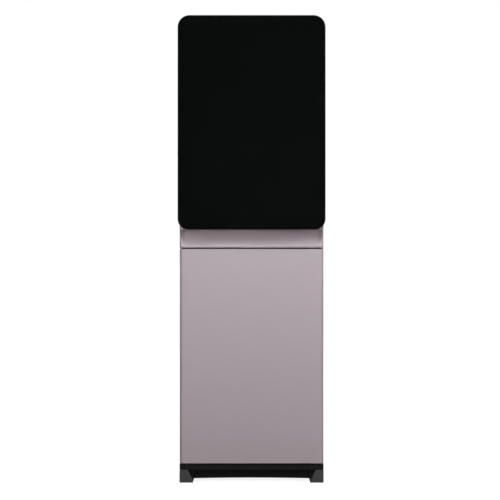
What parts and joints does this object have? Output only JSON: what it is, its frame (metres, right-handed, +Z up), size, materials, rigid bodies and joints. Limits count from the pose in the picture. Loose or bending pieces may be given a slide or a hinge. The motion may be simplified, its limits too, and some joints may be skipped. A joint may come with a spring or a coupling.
{
  "type": "bottom load water cooler",
  "caption": "Tall slim cabinet water cooler: glass door over a tap alcove, scooped neck, lower door to a bottle bay, cooling and heating behind.",
  "frame": {"origin": "on the floor, under the middle of the whole outline", "axes": "+Z up, the front with its glass door faces -Y, +X to the right seen from the front"},
  "size_m": [0.347, 0.38, 1.1],
  "materials": {
    "champagne_metal": "metallic satin lacquer",
    "champagne_plastic": "metallic satin lacquer",
    "black_glass": "back-painted tempered glass, polished",
    "black_plastic": "fine matt grain",
    "grey_plastic": "fine matt grain",
    "pale_plastic": "satin",
    "white_plastic": "semi-gloss",
    "red_plastic": "semi-gloss",
    "blue_plastic": "semi-gloss",
    "lamp_lens": "clear satin",
    "steel_sheet": "galvanised",
    "stainless": "brushed",
    "black_enamel": "satin enamel",
    "copper": "dull",
    "foam": "foam beads",
    "tubing": "food-grade silicone"
  },
  "bodies": {
    "cabinet": {"base_frame": "black_plastic", "front_foot_left": "grey_plastic", "front_foot_right": "grey_plastic", "rear_foot_left": "grey_plastic", "rear_foot_right": "grey_plastic", "left_side_panel": "champagne_metal", "right_side_panel": "champagne_metal", "rear_panel": "steel_sheet", "top_cover": "champagne_plastic", "neck_panel": "champagne_plastic", "upper_fascia": "champagne_plastic", "indicator_lens": "lamp_lens", "alcove_liner": "grey_plastic", "tap_panel": "black_plastic", "cold_tap_body": "black_plastic", "room_tap_body": "black_plastic", "hot_tap_body": "black_plastic", "bottle_bay_liner": "pale_plastic", "bottle_tray": "grey_plastic", "suction_probe": "stainless", "probe_holder": "grey_plastic", "suction_hose": "tubing", "mid_shelf": "steel_sheet", "tank_shelf": "steel_sheet", "cold_tank": "stainless", "cold_tank_foam": "foam", "hot_tank": "stainless", "hot_tank_jacket": "foam", "water_pump": "black_plastic", "cold_pipe": "tubing", "hot_pipe": "tubing", "room_pipe": "tubing", "compressor": "black_enamel", "compressor_base": "steel_sheet", "filter_drier": "copper", "condenser_tube": "black_enamel", "condenser_wires": "black_enamel", "condenser_bracket_top": "steel_sheet", "condenser_bracket_bottom": "steel_sheet", "control_box": "pale_plastic", "switch_plate": "black_plastic", "cord_gland": "black_plastic", "drain_outlet": "black_plastic", "lower_hinge_bottom": "steel_sheet", "lower_hinge_top": "steel_sheet", "upper_hinge_bottom": "steel_sheet", "upper_hinge_top": "steel_sheet"},
    "upper_door": {"glass_pane": "black_glass", "upper_door_frame": "black_plastic"},
    "lower_door": {"lower_door_panel": "champagne_metal", "lower_door_inner": "pale_plastic"},
    "cold_lever": {"cold_tap_lever": "blue_plastic"},
    "room_lever": {"room_tap_lever": "white_plastic"},
    "hot_lever": {"hot_tap_lever": "red_plastic"},
    "hot_lock": {"hot_lock_button": "white_plastic"},
    "drip_tray": {"drip_tray": "black_plastic"},
    "drip_grille": {"drip_grille": "stainless"},
    "cold_rocker": {"cold_switch": "blue_plastic"},
    "hot_rocker": {"hot_switch": "red_plastic"},
    "drain_cap": {"drain_cap": "white_plastic"}
  },
  "joints": [
    {"name": "upper_door_hinge", "type": "hinge", "parent": "cabinet", "child": "upper_door", "pos_m": [0.1655, -0.179, 0.85], "axis": [0, 0, 1], "range_deg": [0, 105]},
    {"name": "lower_door_hinge", "type": "hinge", "parent": "cabinet", "child": "lower_door", "pos_m": [0.163, -0.158, 0.3], "axis": [0, 0, 1], "range_deg": [0, 105]},
    {"name": "cold_lever_press", "type": "hinge", "parent": "cabinet", "child": "cold_lever", "pos_m": [-0.075, -0.0963, 0.9135], "axis": [1, 0, 0], "range_deg": [0, 12], "stiffness_Nm_per_rad": 0.3, "springref_deg": -5.73},
    {"name": "room_lever_press", "type": "hinge", "parent": "cabinet", "child": "room_lever", "pos_m": [0, -0.0963, 0.9135], "axis": [1, 0, 0], "range_deg": [0, 12], "stiffness_Nm_per_rad": 0.3, "springref_deg": -5.73},
    {"name": "hot_lever_press", "type": "hinge", "parent": "cabinet", "child": "hot_lever", "pos_m": [0.075, -0.0963, 0.9135], "axis": [1, 0, 0], "range_deg": [0, 12], "stiffness_Nm_per_rad": 0.3, "springref_deg": -5.73},
    {"name": "hot_lock_slide", "type": "slide", "parent": "hot_lever", "child": "hot_lock", "axis": [0, 1, 0], "range_m": [0, 0.003], "stiffness_N_per_m": 150, "springref_m": -0.002},
    {"name": "drip_tray_lift", "type": "slide", "parent": "cabinet", "child": "drip_tray", "axis": [0, 0, 1], "range_m": [0, 0.06]},
    {"name": "drip_grille_lift", "type": "slide", "parent": "drip_tray", "child": "drip_grille", "axis": [0, 0, 1], "range_m": [0, 0.03]},
    {"name": "cold_switch_rock", "type": "hinge", "parent": "cabinet", "child": "cold_rocker", "pos_m": [-0.093, 0.165, 0.515], "axis": [1, 0, 0], "range_deg": [0, 16]},
    {"name": "hot_switch_rock", "type": "hinge", "parent": "cabinet", "child": "hot_rocker", "pos_m": [-0.067, 0.165, 0.515], "axis": [1, 0, 0], "range_deg": [0, 16]},
    {"name": "drain_cap_pull", "type": "slide", "parent": "cabinet", "child": "drain_cap", "axis": [0, 1, 0], "range_m": [0, 0.015]}
  ]
}
